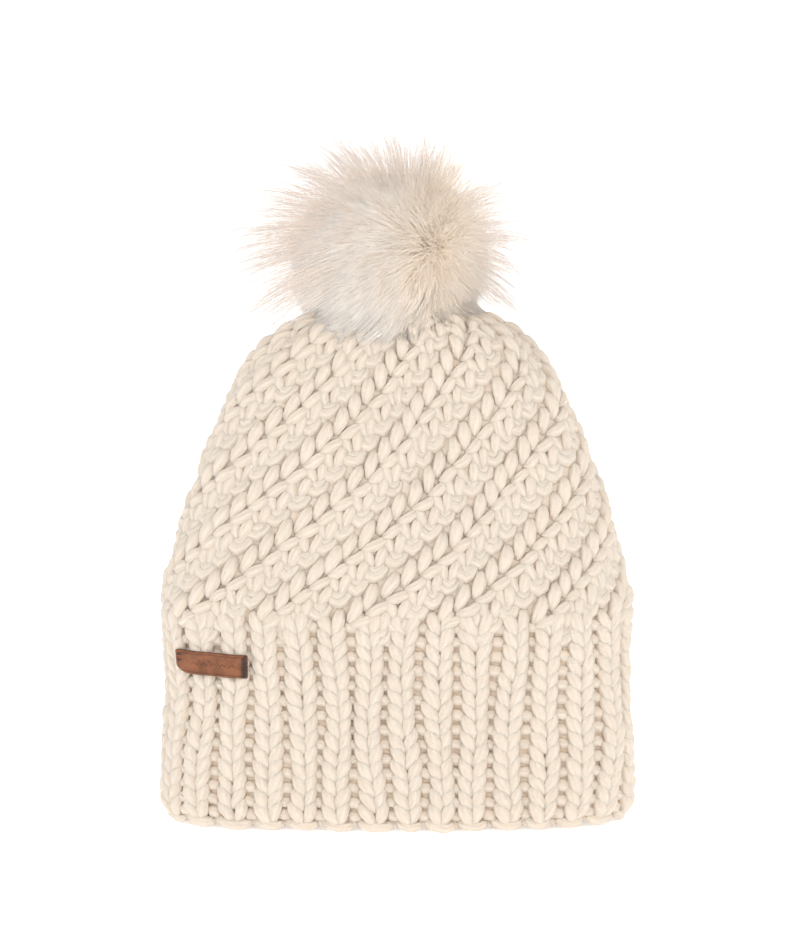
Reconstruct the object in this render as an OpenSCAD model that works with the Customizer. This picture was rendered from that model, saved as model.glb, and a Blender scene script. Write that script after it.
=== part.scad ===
// Chunky knitted beanie with a detachable faux-fur pom, a leather label and a fleece band inside.
// Millimetres. +Z points up through the crown, the hem lies on z = 0, the label faces -Y.

/* [Knit shell] */
// Width of the hat across the ribs
hat_w = 235; // [190:1:290]
// Depth of the hat from front to back when it is filled out
hat_d = 88; // [72:1:150]
// Height from the hem to the top of the crown
hat_h = 254; // [200:1:310]
// Height of the ribbed band, hem included
band_h = 109; // [85:1:135]
// Thickness of the knitted wall
knit_t = 9; // [6:0.5:11]
// Squareness of the plan outline, where 2 is an ellipse
plan_power = 3.4; // [2:0.1:5]
// Knit ribs round the band
rib_count = 33; // [24:1:44]
// Height of a rib over the middle of the wall's face
rib_relief = 1.4; // [0.5:0.1:2.5]
// Height of the cast-on chain along the hem
hem_h = 7.5; // [5:0.5:12]
// Travelling ridges round the crown
ridge_count = 13; // [8:1:18]
// Height of a crown ridge over the middle of the wall's face
ridge_relief = 1.8; // [0.5:0.1:2.5]
// Sideways travel of a ridge for each millimetre that it climbs at the foot of the crown
ridge_travel = 1.3; // [0:0.1:1.6]

/* [Crown tip] */
// Radius of the gathered knit tip that carries the pom
tip_r = 14; // [11:0.5:18]
// Thickness of the drawstring yarn round the tip
gather_d = 2.4; // [1.5:0.1:3.5]

/* [Snap fastener] */
// Radius of the two snap caps
snap_cap_r = 6.2; // [5:0.1:7]
// Thickness of the two snap caps
snap_cap_t = 1.2; // [0.8:0.1:2]
// Radius of the stud's and the socket's flange
snap_r = 5.1; // [4.2:0.1:6]
// Thickness of the stud's flange
stud_flange_t = 1; // [0.6:0.1:1.5]
// Radius of the stud's knob
knob_r = 2.55; // [2.2:0.05:3]
// Height of the stud's knob
knob_h = 3; // [2:0.1:4]
// Wire radius of the ring spring that grips the knob
spring_wire_r = 0.3; // [0.2:0.05:0.4]
// Wall over the socket's cavity
socket_roof = 1.2; // [1:0.1:2]
// Radius of the posts that rivet each cap to its half
post_r = 1; // [0.8:0.1:1.3]
// Radius of the felt washer inside the crown
washer_r = 11; // [8:0.5:12]
// Thickness of the felt washer
washer_t = 1.5; // [1:0.1:3]

/* [Pom] */
// Radius of the pom over its combed pile
pom_r = 50; // [40:1:60]
// Height of the pom's middle over the top of the crown
pom_lift = 31; // [26:1:45]
// Radius of the filling under the fur
filling_r = 20; // [15:0.5:24]
// Radius of the felt disc that closes the pom
base_disc_r = 11.8; // [10:0.1:13]
// Thickness of that disc
base_disc_t = 1.2; // [0.8:0.1:2]
// Radius of the thread that gathers the fur cover shut
pom_thread_r = 0.6; // [0.4:0.1:0.8]
// Slope of the pom's underside, which leaves room for it to flop
pom_under_deg = 18; // [12:1:25]

/* [Lining] */
// Thickness of the fleece
fleece_t = 3; // [2:0.5:4]
// Height of the fleece band
fleece_h = 66; // [50:1:76]
// Distance from the hem to the fleece's lower edge
fleece_z = 8; // [5:1:14]
// Stitches along each edge of the fleece
fleece_stitch_count = 64; // [40:2:90]
// Length of one lining stitch
stitch_l = 4; // [3:0.5:6]
// Radius of the sewing thread
thread_r = 0.35; // [0.25:0.05:0.5]
// Distance from the fleece's edge to its row of stitches
stitch_inset = 3; // [2:0.5:6]

/* [Leather label] */
// Width of the label as it is seen from the front
label_w = 35; // [25:1:45]
// Height of the label
label_h = 11.5; // [9:0.5:16]
// Thickness of the leather
label_t = 1.6; // [1:0.1:2.5]
// Distance of the label's middle from the hat's middle
label_x = 89.5; // [70:0.5:92]
// Height of the label's middle over the hem
label_z = 83; // [60:1:95]
// Radius of the label's lower outer corner
label_corner_r = 5; // [2:0.5:5.5]
// Radius of the label's other corners
label_edge_r = 0.8; // [0.3:0.1:2]
// Slope of the label along its length
label_tilt = 2; // [-4:0.5:4]
// Slanted stitches in the bar tack
tack_count = 8; // [4:1:12]
// Length of one bar-tack stitch
tack_l = 2.5; // [1.5:0.1:3.5]
// Distance from the label's end to the bar tack
tack_inset = 1.6; // [1.2:0.1:3]

/* [Care label] */
// Width of the blank care label
care_w = 28; // [20:1:40]
// Length of the care label below its seam
care_h = 34; // [25:1:45]
// Thickness of the folded care label
care_t = 0.4; // [0.3:0.1:0.8]
// Stitches that hold the care label
care_stitch_count = 5; // [3:1:7]

/* [Hidden] */

$fn = 96;
seam_gap = 0.2;        // between two soft pieces that are knitted or sewn together
run_gap = 0.4;         // between the soft pieces that turn against each other
snap_gap = 0.1;        // running clearance inside the snap
lie_gap = 0.3;         // between a soft piece and the one that it lies on
rib_steps = 6;         // outline points over one rib
ridge_steps = 6;       // outline points over one crown ridge
ring_count = 20;       // rings from the band to the tip
smooth_steps = 128;    // outline points on a smooth wall
corner_steps = 8;      // points on a rounded corner of the label
arc_steps = 360;       // fine steps that measure the outline's length
crown_ease = 1.2;      // how early the crown starts to narrow
crown_round = 3;       // how round the crown's shoulder is
ridge_start = 0.02;    // share of the outline by which the first ridge is turned
overcut = 1;           // how far a cutter runs past a face

half_w = hat_w / 2 - rib_relief;
half_d = hat_d / 2 - rib_relief;
hole_r = tip_r + gather_d + 2 * run_gap;
pivot_z = hat_h - knit_t / 2;
stud_z = hat_h;
knob_z = stud_z + stud_flange_t;
socket_z = knob_z + snap_gap;
cavity_r = knob_r + 2 * spring_wire_r + 2 * snap_gap;
cavity_h = knob_h + 4 * snap_gap;
spring_z = socket_z + cavity_h / 2;
base_z = socket_z + cavity_h + socket_roof;
pom_z = hat_h + pom_lift;
fleece_w = half_w - knit_t - lie_gap;
fleece_d = half_d - knit_t - lie_gap;
care_top = fleece_z + fleece_h - stitch_inset;
care_y = fleece_d - fleece_t - lie_gap;

yarn_colour = [0.95, 0.91, 0.84];
edge_colour = [0.90, 0.85, 0.77];
fur_colour = [0.93, 0.88, 0.82];
leather_colour = [0.53, 0.33, 0.24];
thread_colour = [0.29, 0.17, 0.12];
fleece_colour = [0.94, 0.92, 0.88];
snap_colour = [0.90, 0.89, 0.85];
steel_colour = [0.72, 0.72, 0.74];

// A superellipse at polar angle t, with half width a, half depth b and squareness n.
function on_plan(a, b, n, t) = [
    a * sign(cos(t)) * pow(abs(cos(t)), 2 / n),
    b * sign(sin(t)) * pow(abs(sin(t)), 2 / n)
];
function unit(v) = v / norm(v);
function running(lengths, i, total) =
    i == len(lengths) ? [total] : concat([total], running(lengths, i + 1, total + lengths[i]));

// The angle at each share of the outline's length, as a table for lookup().
function share_table(a, b, n) =
    let (pts = [for (i = [0:arc_steps]) on_plan(a, b, n, 360 * i / arc_steps)],
        run = running([for (i = [0:arc_steps - 1]) norm(pts[i + 1] - pts[i])], 0, 0))
    [for (i = [0:arc_steps]) [run[i] / run[arc_steps], 360 * i / arc_steps]];
function perimeter(a, b, n) =
    let (pts = [for (i = [0:arc_steps]) on_plan(a, b, n, 360 * i / arc_steps)])
    running([for (i = [0:arc_steps - 1]) norm(pts[i + 1] - pts[i])], 0, 0)[arc_steps];
function share_at(a, b, n, table, u) = on_plan(a, b, n, lookup(u - floor(u), table));
function outward(a, b, n, table, u) =
    let (e = 0.002, d = share_at(a, b, n, table, u + e) - share_at(a, b, n, table, u - e))
    unit([d[1], -d[0]]);

// An outline with evenly spaced points, waved by ribs of the given relief.
function waved(a, b, count, steps, relief) =
    let (table = share_table(a, b, plan_power))
    [for (i = [0:count * steps - 1])
        let (u = i / (count * steps))
        share_at(a, b, plan_power, table, u)
            + relief * cos(360 * i / steps) * outward(a, b, plan_power, table, u)];
function smooth(a, b) = waved(a, b, 1, smooth_steps, 0);

// How much of its width the crown has left at share t of its climb.
function narrowing(t) = pow(max(0, 1 - pow(t, crown_ease)), 1 / crown_round);
// Climb shares that crowd towards the tip, where the wall turns in.
function climb(i) = sin(90 * i / ring_count);
function crown_half(full, t) = hole_r + (full - hole_r) * narrowing(t);
function crown_power(t) = 2 + (plan_power - 2) * min(1, 1.5 * narrowing(t));
function crown_z(top, t) = band_h + seam_gap + (top - band_h - seam_gap) * t;
function crown_step(i) =
    let (t0 = climb(i), t1 = climb(i + 1))
    norm([crown_half(half_w, t1) - crown_half(half_w, t0), crown_z(hat_h, t1) - crown_z(hat_h, t0)]);
function crown_outline(t) = perimeter(crown_half(half_w, t), crown_half(half_d, t), crown_power(t));
// The ridges steepen as the outline shrinks.
function crown_turns() =
    let (around = [for (i = [0:ring_count - 1]) crown_outline(climb(i))])
    running([for (i = [0:ring_count - 1])
        ridge_travel * crown_step(i) * sqrt(around[i] / around[0]) / around[0]], 0, ridge_start);

function crown_ring(a, b, top, i, turn, relief) =
    let (t = climb(i), n = crown_power(t), w = crown_half(a, t), d = crown_half(b, t),
        table = share_table(w, d, n), steps = ridge_count * ridge_steps,
        wave = relief * narrowing(t))
    [for (j = [0:steps - 1])
        let (u = j / steps + turn, p = share_at(w, d, n, table, u)
            + wave * cos(360 * j / ridge_steps) * outward(w, d, n, table, u))
        [p[0], p[1], crown_z(top, t)]];

// A ring wall between two outlines.
module wall(z, h) {
    translate([0, 0, z])
        linear_extrude(h)
            difference() {
                children(0);
                children(1);
            }
}

module torus(big_r, wire_r) {
    rotate_extrude()
        translate([big_r, 0])
            circle(wire_r, $fn = 32);
}

// The thread's stitches along one row inside the fleece.
module stitch_row(z) {
    w = fleece_w - fleece_t - thread_r - lie_gap;
    d = fleece_d - fleece_t - thread_r - lie_gap;
    table = share_table(w, d, plan_power);
    for (i = [0:fleece_stitch_count - 1]) {
        u = (i + 0.5) / fleece_stitch_count;
        p = share_at(w, d, plan_power, table, u);
        n = outward(w, d, plan_power, table, u);
        translate([p[0], p[1], z])
            rotate([0, 0, atan2(n[1], n[0]) + 90])
                rotate([0, 90, 0])
                    cylinder(h = stitch_l, r = thread_r, center = true, $fn = 16);
    }
}

module rib_band() {
    color(yarn_colour)
        wall(hem_h + seam_gap, band_h - hem_h - seam_gap) {
            polygon(waved(half_w, half_d, rib_count, rib_steps, rib_relief));
            polygon(smooth(half_w - knit_t, half_d - knit_t));
        }
}

module cast_on_edge() {
    color(edge_colour)
        wall(0, hem_h) {
            polygon(smooth(half_w + rib_relief, half_d + rib_relief));
            polygon(smooth(half_w - knit_t, half_d - knit_t));
        }
}

module crown() {
    steps = ridge_count * ridge_steps;
    turns = crown_turns();
    outer = [for (i = [0:ring_count])
        each crown_ring(half_w, half_d, hat_h, i, turns[i], ridge_relief)];
    inner = [for (i = [0:ring_count])
        each crown_ring(half_w - knit_t, half_d - knit_t, hat_h - knit_t, i, turns[i], 0)];
    base = len(outer);
    color(yarn_colour)
        polyhedron(
            points = concat(outer, inner),
            faces = concat(
                [for (i = [0:ring_count - 1], j = [0:steps - 1])
                    let (a = i * steps + j, b = i * steps + (j + 1) % steps)
                    each [[a, a + steps, b], [b, a + steps, b + steps]]],
                [for (i = [0:ring_count - 1], j = [0:steps - 1])
                    let (a = base + i * steps + j, b = base + i * steps + (j + 1) % steps)
                    each [[a, b, a + steps], [b, b + steps, a + steps]]],
                [for (j = [0:steps - 1])
                    let (k = (j + 1) % steps)
                    each [[j, k, base + j], [k, base + k, base + j]]],
                [for (j = [0:steps - 1])
                    let (a = ring_count * steps + j, b = ring_count * steps + (j + 1) % steps)
                    each [[a, base + a, b], [b, base + a, base + b]]]
            )
        );
}

module crown_gather_yarn() {
    color(edge_colour)
        translate([0, 0, pivot_z])
            torus(tip_r + run_gap + gather_d / 2, gather_d / 2);
}

// A slice of a ball about the pivot, so it turns inside the gather yarn without touching it.
module crown_tip() {
    color(yarn_colour)
        translate([0, 0, pivot_z])
            difference() {
                intersection() {
                    sphere(tip_r);
                    cube([2 * tip_r + overcut, 2 * tip_r + overcut, knit_t], center = true);
                }
                cylinder(h = knit_t + overcut, r = post_r + snap_gap, center = true);
            }
}

module felt_washer() {
    color(fleece_colour)
        translate([0, 0, hat_h - knit_t - washer_t])
            difference() {
                cylinder(h = washer_t, r = washer_r);
                translate([0, 0, -overcut])
                    cylinder(h = washer_t + 2 * overcut, r = post_r + snap_gap);
            }
}

module snap_stud() {
    color(snap_colour)
        translate([0, 0, stud_z])
            difference() {
                union() {
                    cylinder(h = stud_flange_t, r = snap_r);
                    cylinder(h = stud_flange_t + knob_h, r = knob_r);
                }
                translate([0, 0, -overcut])
                    cylinder(h = overcut + stud_flange_t + knob_h / 2, r = post_r + snap_gap);
            }
}

module snap_stud_cap() {
    cap_z = hat_h - knit_t - washer_t - snap_cap_t;
    color(snap_colour)
        translate([0, 0, cap_z]) {
            cylinder(h = snap_cap_t, r = snap_cap_r);
            cylinder(h = stud_z + stud_flange_t - cap_z, r = post_r);
        }
}

module snap_ring_spring() {
    color(steel_colour)
        translate([0, 0, spring_z])
            torus(knob_r + snap_gap + spring_wire_r, spring_wire_r);
}

module snap_socket() {
    color(snap_colour)
        translate([0, 0, socket_z])
            difference() {
                cylinder(h = cavity_h + socket_roof, r = snap_r);
                translate([0, 0, -overcut])
                    cylinder(h = overcut + cavity_h, r = cavity_r);
                translate([0, 0, cavity_h - overcut])
                    cylinder(h = socket_roof + 2 * overcut, r = post_r + snap_gap);
            }
}

module snap_socket_cap() {
    color(snap_colour) {
        translate([0, 0, base_z + base_disc_t])
            cylinder(h = snap_cap_t, r = snap_cap_r);
        translate([0, 0, base_z - socket_roof / 2])
            cylinder(h = socket_roof / 2 + base_disc_t + snap_cap_t / 2, r = post_r);
    }
}

module pom_base_disc() {
    color(fleece_colour)
        translate([0, 0, base_z])
            difference() {
                cylinder(h = base_disc_t, r = base_disc_r);
                translate([0, 0, -overcut])
                    cylinder(h = base_disc_t + 2 * overcut, r = post_r + snap_gap);
            }
}

module pom_gather_thread() {
    color(thread_colour)
        translate([0, 0, base_z + base_disc_t / 2])
            torus(base_disc_r + lie_gap + pom_thread_r, pom_thread_r);
}

module pom_filling() {
    color("white")
        translate([0, 0, pom_z])
            sphere(filling_r);
}

// A ball of pile with a hollow for the filling, a mouth for the disc and a sloping underside.
module pom_fur_cover() {
    mouth_r = base_disc_r + 2 * lie_gap + 2 * pom_thread_r;
    mouth_z = base_z + base_disc_t + snap_cap_t + lie_gap;
    neck_r = snap_cap_r + lie_gap;
    far = 2 * pom_r;
    color(fur_colour)
        rotate_extrude()
            difference() {
                translate([0, pom_z])
                    circle(pom_r);
                translate([-far, 0])
                    square([far, far + pom_z]);
                translate([0, pom_z])
                    circle(filling_r + lie_gap);
                polygon([[-1, 0], [far, 0], [far, base_z + (far - mouth_r) * tan(pom_under_deg)],
                    [mouth_r, base_z], [mouth_r, mouth_z], [neck_r, mouth_z], [neck_r, pom_z], [-1, pom_z]]);
            }
}

module fleece_band() {
    color(fleece_colour)
        wall(fleece_z, fleece_h) {
            polygon(smooth(fleece_w, fleece_d));
            polygon(smooth(fleece_w - fleece_t, fleece_d - fleece_t));
        }
}

module fleece_top_stitches() {
    color(fleece_colour)
        stitch_row(fleece_z + fleece_h - stitch_inset / 2);
}

module fleece_bottom_stitches() {
    color(fleece_colour)
        stitch_row(fleece_z + stitch_inset);
}

// The outline's half depth at a distance x from the middle.
function depth_at(x) =
    (half_d + rib_relief) * pow(1 - pow(x / (half_w + rib_relief), plan_power), 1 / plan_power);

// The circle through three points of the outline, on which the label is bent: [x, y, radius].
function label_arc() =
    let (p = [for (s = [-1:1]) let (x = label_x + s * label_w / 2) [x, depth_at(x)]],
        u = p[1] - p[0], v = p[2] - p[0], k = 2 * (u[0] * v[1] - u[1] * v[0]),
        c = p[0] + [v[1] * (u * u) - u[1] * (v * v), u[0] * (v * v) - v[0] * (u * u)] / k)
    [c[0], c[1], norm(p[1] - c)];

// A child at distance x from the label's middle and height z, on the label's outer face.
module on_label(x, z) {
    arc = label_arc();
    r = arc[2] + lie_gap + label_t + thread_r + snap_gap;
    translate([-arc[0], -arc[1], label_z + z + x * tan(label_tilt)])
        rotate([0, 0, -asin((label_x - x - arc[0]) / r)])
            translate([0, -r, 0])
                children();
}

// A quarter turn about a corner of the label, which starts at angle from.
function corner(x, z, r, from) =
    [for (i = [0:corner_steps]) let (t = from + 90 * i / corner_steps) [x + r * cos(t), z + r * sin(t)]];
function label_outline() =
    let (w = label_w / 2, h = label_h / 2, e = label_edge_r, c = label_corner_r)
    concat(corner(w - e, h - e, e, 0), corner(e - w, h - e, e, 90),
        corner(c - w, c - h, c, 180), corner(w - e, e - h, e, 270));

module leather_label() {
    arc = label_arc();
    inner_r = arc[2] + lie_gap;
    color(leather_colour)
        intersection() {
            translate([-arc[0], -arc[1], 0])
                difference() {
                    cylinder(h = hat_h, r = inner_r + label_t);
                    translate([0, 0, -overcut])
                        cylinder(h = hat_h + 2 * overcut, r = inner_r);
                }
            translate([-label_x, 0, label_z])
                rotate([90, 0, 0])
                    rotate([0, 0, -label_tilt])
                        linear_extrude(hat_d)
                            polygon(label_outline());
        }
}

module label_bar_tack() {
    pitch = (label_h - 2 * label_edge_r) / tack_count;
    color(thread_colour)
        for (i = [0:tack_count - 1])
            on_label(label_w / 2 - tack_inset, (i + 0.5 - tack_count / 2) * pitch)
                rotate([0, 60, 0])
                    cylinder(h = tack_l, r = thread_r, center = true, $fn = 16);
}

module label_end_stitches() {
    color(thread_colour)
        for (s = [-1, 1])
            on_label(label_corner_r - label_w / 2, s * label_h / 8)
                rotate([0, 90, 0])
                    cylinder(h = tack_l / 2, r = thread_r, center = true, $fn = 16);
}

module care_label() {
    color("white")
        translate([-care_w / 2, care_y - care_t, care_top - care_h])
            cube([care_w, care_t, care_h]);
}

module care_label_stitches() {
    pitch = care_w / care_stitch_count;
    color(fleece_colour)
        for (i = [0:care_stitch_count - 1])
            translate([(i + 0.5) * pitch - care_w / 2, care_y - thread_r, care_top + thread_r + lie_gap])
                rotate([0, 90, 0])
                    cylinder(h = pitch / 2, r = thread_r, center = true, $fn = 16);
}

rib_band();
cast_on_edge();
crown();
crown_gather_yarn();
crown_tip();
felt_washer();
snap_stud();
snap_stud_cap();
snap_ring_spring();
snap_socket();
snap_socket_cap();
pom_base_disc();
pom_gather_thread();
pom_filling();
pom_fur_cover();
fleece_band();
fleece_top_stitches();
fleece_bottom_stitches();
leather_label();
label_bar_tack();
label_end_stitches();
care_label();
care_label_stitches();
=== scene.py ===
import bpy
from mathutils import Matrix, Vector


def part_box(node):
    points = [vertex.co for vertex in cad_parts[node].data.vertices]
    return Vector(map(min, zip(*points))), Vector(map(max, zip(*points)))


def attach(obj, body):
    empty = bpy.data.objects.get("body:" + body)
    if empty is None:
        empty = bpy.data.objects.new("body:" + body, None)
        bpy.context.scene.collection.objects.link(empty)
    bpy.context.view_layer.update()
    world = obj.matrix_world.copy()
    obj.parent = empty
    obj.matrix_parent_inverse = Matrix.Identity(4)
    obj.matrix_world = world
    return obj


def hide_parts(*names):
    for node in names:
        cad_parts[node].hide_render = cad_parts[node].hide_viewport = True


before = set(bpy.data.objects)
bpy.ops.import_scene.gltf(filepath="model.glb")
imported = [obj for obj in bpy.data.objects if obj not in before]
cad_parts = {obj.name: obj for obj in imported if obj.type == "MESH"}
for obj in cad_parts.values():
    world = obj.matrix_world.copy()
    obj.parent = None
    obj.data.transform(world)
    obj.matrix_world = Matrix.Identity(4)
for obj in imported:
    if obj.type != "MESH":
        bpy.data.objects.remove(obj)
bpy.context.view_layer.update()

import math
import bpy
import numpy as np

mm = 0.001
scene = bpy.context.scene


# An sRGB colour, 0 to 255, as the linear colour that shaders use.
def tint(r, g, b):
    shares = [c / 255 for c in (r, g, b)]
    return tuple(c / 12.92 if c < 0.0404 else ((c + 0.055) / 1.055) ** 2.4 for c in shares) + (1.0,)


# Vectors divided by their own length, along the last axis.
def unit(v, least=1e-9):
    return v / np.maximum(np.linalg.norm(v, axis=-1, keepdims=True), least)


# Row and column of the four corners of every cell of a grid; flip turns its faces over.
def cellCorners(rows, columns, flip=False):
    r, c = [g.reshape(-1, 1) for g in np.meshgrid(np.arange(rows), np.arange(columns), indexing="ij")]
    one, other = np.array([[0, 1, 1, 0]]), np.array([[0, 0, 1, 1]])
    return (r + other, c + one) if flip else (r + one, c + other)


# One output of a node. A sum, product or power on it adds a Math node.
class Val:
    def __init__(self, paint, out):
        self.paint, self.out = paint, out

    def maths(self, how, *sides):
        return self.paint.node("ShaderNodeMath", {"operation": how}, list(sides))

    def __add__(self, other):
        return self.maths("ADD", self, other)

    def __sub__(self, other):
        return self.maths("SUBTRACT", self, other)

    def __rsub__(self, other):
        return self.maths("SUBTRACT", other, self)

    def __mul__(self, other):
        return self.maths("MULTIPLY", self, other)

    def __truediv__(self, other):
        return self.maths("DIVIDE", self, other)

    def __rtruediv__(self, other):
        return self.maths("DIVIDE", other, self)

    def __pow__(self, other):
        return self.maths("POWER", self, other)

    def __rpow__(self, other):
        return self.maths("POWER", other, self)

    __radd__, __rmul__ = __add__, __mul__


# A material being made. node() adds any node from its type, its settings and the values or links of its
# sockets.
class Paint:
    def __init__(self, name):
        self.material = bpy.data.materials.new(name)
        self.material.use_nodes = True
        self.tree = self.material.node_tree
        self.tree.nodes.clear()

    def node(self, kind, settings=None, inputs=None, out=0):
        made = self.tree.nodes.new(kind)
        for key, value in (settings or {}).items():
            if key == "stops":
                for place, colour in value[1:-1]:
                    made.color_ramp.elements.new(place)
                for stop, (place, colour) in zip(made.color_ramp.elements, value):
                    stop.position, stop.color = place, colour
            else:
                setattr(made, key, value)
        for key, value in (inputs.items() if isinstance(inputs, dict) else enumerate(inputs or [])):
            if isinstance(value, Val):
                self.tree.links.new(value.out, made.inputs[key])
            else:
                made.inputs[key].default_value = value
        return Val(self, made.outputs[out])

    def blend(self, share, a, b, how="MIX"):
        return self.node("ShaderNodeMix", {"data_type": "RGBA", "blend_type": how}, {0: share, 6: a, 7: b}, 2)

    def soft(self, value, low, high):
        return self.node("ShaderNodeMapRange", {"interpolation_type": "SMOOTHSTEP"},
                         {"Value": value, "From Min": low, "From Max": high})

    def attribute(self, name):
        return self.node("ShaderNodeAttribute", {"attribute_name": name}, None, "Fac")

    def place(self):
        return self.node("ShaderNodeTexCoord", None, None, "Object")

    def map(self, name):
        parts = self.node("ShaderNodeSeparateXYZ", None, [self.node("ShaderNodeUVMap", {"uv_map": name})])
        return parts, Val(self, parts.out.node.outputs[1])

    def noise(self, where, scale, detail=3.0, rough=0.55, stretch=(1, 1, 1)):
        if stretch != (1, 1, 1):
            where = self.node("ShaderNodeMapping", None, {"Vector": where, "Scale": stretch})
        return self.node("ShaderNodeTexNoise", None,
                         {"Vector": where, "Scale": scale, "Detail": detail, "Roughness": rough})

    def bump(self, height, distance):
        return self.node("ShaderNodeBump", None, {"Height": height, "Distance": distance})

    def finish(self, **sockets):
        named = {key.replace("_", " ").title().replace("Ior", "IOR"): value for key, value in sockets.items()}
        shader = self.node("ShaderNodeBsdfPrincipled", None, named)
        end = self.tree.nodes.new("ShaderNodeOutputMaterial")
        self.tree.links.new(shader.out, end.inputs["Surface"])
        return self.material


# lit is the yarn's own cream where it stands out; the deep and pit colours are painted shade for the hollows
# between strands and the darkest gaps.
yarnLook = {
    "lit": (228, 216, 202), "deep": (223, 201, 177), "pitShade": (200, 164, 130), "line": (213, 189, 162),
    "plies": 5, "plyLength": 46 * mm, "plyDepth": 0.42 * mm,
    "streak": (2.6, 190),         # how many streaks lie round a strand, and how fast they change along it
    "fibre": 1100, "fluff": 260,  # scales of the fine fibres and of the soft fluff
}


# Yarn: cream, with painted shade that makes it warmer and browner the deeper a point lies, and with plies that
# wind round the strand and streaks of fibre along it, whose grooves are darkened as painted shade: noise at
# (cos, sin, along), which closes round the strand.
def yarnMaterial(name, look):
    p = Paint(name)
    where = p.place()
    turn, along = p.map("yarnMap")
    depth, tone = p.attribute("depth"), p.attribute("tone")
    wind = (turn * look["plies"] + along / look["plyLength"]) * (2 * math.pi)
    ply = p.node("ShaderNodeMath", {"operation": "SINE"}, [wind]) * 0.5 + 0.5
    streaks, change = look["streak"]
    circle = [p.node("ShaderNodeMath", {"operation": how}, [turn * (2 * math.pi)]) * streaks
              for how in ("COSINE", "SINE")]
    spun = p.node("ShaderNodeCombineXYZ", None, circle + [along * change + tone * 40])
    streak, fibre = p.noise(spun, 1.6, 3.0, 0.6), p.noise(where, look["fibre"], 4.0, 0.6)
    fluff = p.noise(where, look["fluff"], 3.0, 0.6)
    # painted shade: with depth the colour turns to the deep colour, and in the deepest gaps to the pit colour
    colour = p.blend(p.soft(depth, 0.16, 0.72), tint(*look["lit"]), tint(*look["deep"]))
    colour = p.blend(p.soft(depth, 0.62, 1.0), colour, tint(*look["pitShade"]))
    # painted shade in the grooves: where the plies part and along the low streaks of fibre the colour darkens
    # towards the line colour; each strand's tone adds a little of it as its own colour
    lines = (1 - ply) ** 3 * 0.2 + p.soft(streak, 0.5, 0.75) * 0.24 + tone * 0.06
    colour = p.blend(lines, colour, tint(*look["line"]))
    height = ply * 0.4 + (1 - streak) * 0.6 + fibre * 0.35 + fluff * 0.3
    return p.finish(base_color=colour, roughness=0.78 + 0.14 * fibre,
                    normal=p.bump(height, look["plyDepth"] * 2.6), sheen_weight=0.2, sheen_roughness=0.5,
                    specular_ior_level=0.2, subsurface_weight=0.25,
                    subsurface_radius=(1.0, 0.82, 0.66), subsurface_scale=2 * mm)


# The hat's surface. Width, depth and heights come from the frame; this is only the way the outline bends.
hatForm = {
    "power": 3.4,          # squareness of the plan outline
    "crownEase": 1.2,      # how early the crown narrows
    "crownRound": 3.0,     # how round its shoulder is
    "crownSlim": 0.048,    # how far the soft knit sinks in half way up, as a share of its width
    "waist": 0.016,        # the band draws in a little half way up
    "hemRoll": 0.045,      # and rolls in at the hem
    "bandRows": 100, "crownRows": 160, "outlineSteps": 720,
}
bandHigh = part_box("rib_band")[1]
halfWide, halfDeep, bandTop = bandHigh.x, bandHigh.y, bandHigh.z
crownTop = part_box("crown")[1].z
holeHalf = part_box("crown_gather_yarn")[1].x


# Superellipse |x/a|^n + |y/b|^n = 1, walked at even steps of its own length.
def outline(a, b, n, steps):
    t = np.linspace(0, 2 * np.pi, 2881)
    c, s = np.cos(t), np.sin(t)
    x = a * np.sign(c) * np.abs(c) ** (2 / n)
    y = b * np.sign(s) * np.abs(s) ** (2 / n)
    run = np.concatenate([[0], np.cumsum(np.hypot(np.diff(x), np.diff(y)))])
    even = np.linspace(0, run[-1], steps, endpoint=False)
    return np.interp(even, run, x), np.interp(even, run, y), run[-1]


# Rows of that outline: straight up the band, then in over the crown as (1 - t^ease)^(1/round) of its climb t,
# less a share of slim * sin(pi t) where the empty knit sinks.
def surfaceOf(f):
    zBand = np.linspace(0, bandTop, f["bandRows"], endpoint=False)
    drawIn = 1 - f["waist"] * np.sin(np.pi * np.clip((zBand / bandTop - 0.3) / 0.7, 0, 1)) ** 2
    drawIn -= f["hemRoll"] * np.clip(1 - zBand / (14 * mm), 0, 1) ** 2
    t = np.sin(np.linspace(0, np.pi / 2, f["crownRows"]))
    narrow = np.clip(1 - t ** f["crownEase"], 0, 1) ** (1 / f["crownRound"])
    z = np.concatenate([zBand, bandTop + (crownTop - bandTop) * t])
    sink = 1 - f["crownSlim"] * np.sin(np.pi * t)
    a = np.concatenate([halfWide * drawIn, (holeHalf + (halfWide - holeHalf) * narrow) * sink])
    b = np.concatenate([halfDeep * drawIn, holeHalf + (halfDeep - holeHalf) * narrow])
    n = np.concatenate([np.full(len(zBand), f["power"]), 2 + (f["power"] - 2) * np.clip(1.5 * narrow, 0, 1)])
    rows = [outline(*row, f["outlineSteps"]) for row in zip(a, b, n)]
    place = np.stack([np.stack([r[0] for r in rows]), np.stack([r[1] for r in rows]),
                      np.repeat(z[:, None], f["outlineSteps"], 1)], -1)
    run = np.concatenate([[0], np.cumsum(np.hypot(np.diff(z), (np.diff(a) + np.diff(b)) / 2))])
    normal = unit(np.cross(np.roll(place, -1, 1) - np.roll(place, 1, 1), np.gradient(place, axis=0)))
    return {"place": place, "normal": normal, "run": run, "z": z, "a": a, "b": b, "n": n,
            "around": np.array([r[2] for r in rows]), "steps": f["outlineSteps"]}


hat = surfaceOf(hatForm)
runTop = hat["run"][-1]
runBand = float(np.interp(bandTop, hat["z"], hat["run"]))
halfBand = hatForm["bandRows"] // 2
print("surface: outline", round(hat["around"][halfBand] * 1000), "mm, hem to tip", round(runTop * 1000), "mm")


def aroundAt(run):  # length of the outline at a run up from the hem
    return np.interp(run, hat["run"], hat["around"])


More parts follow.
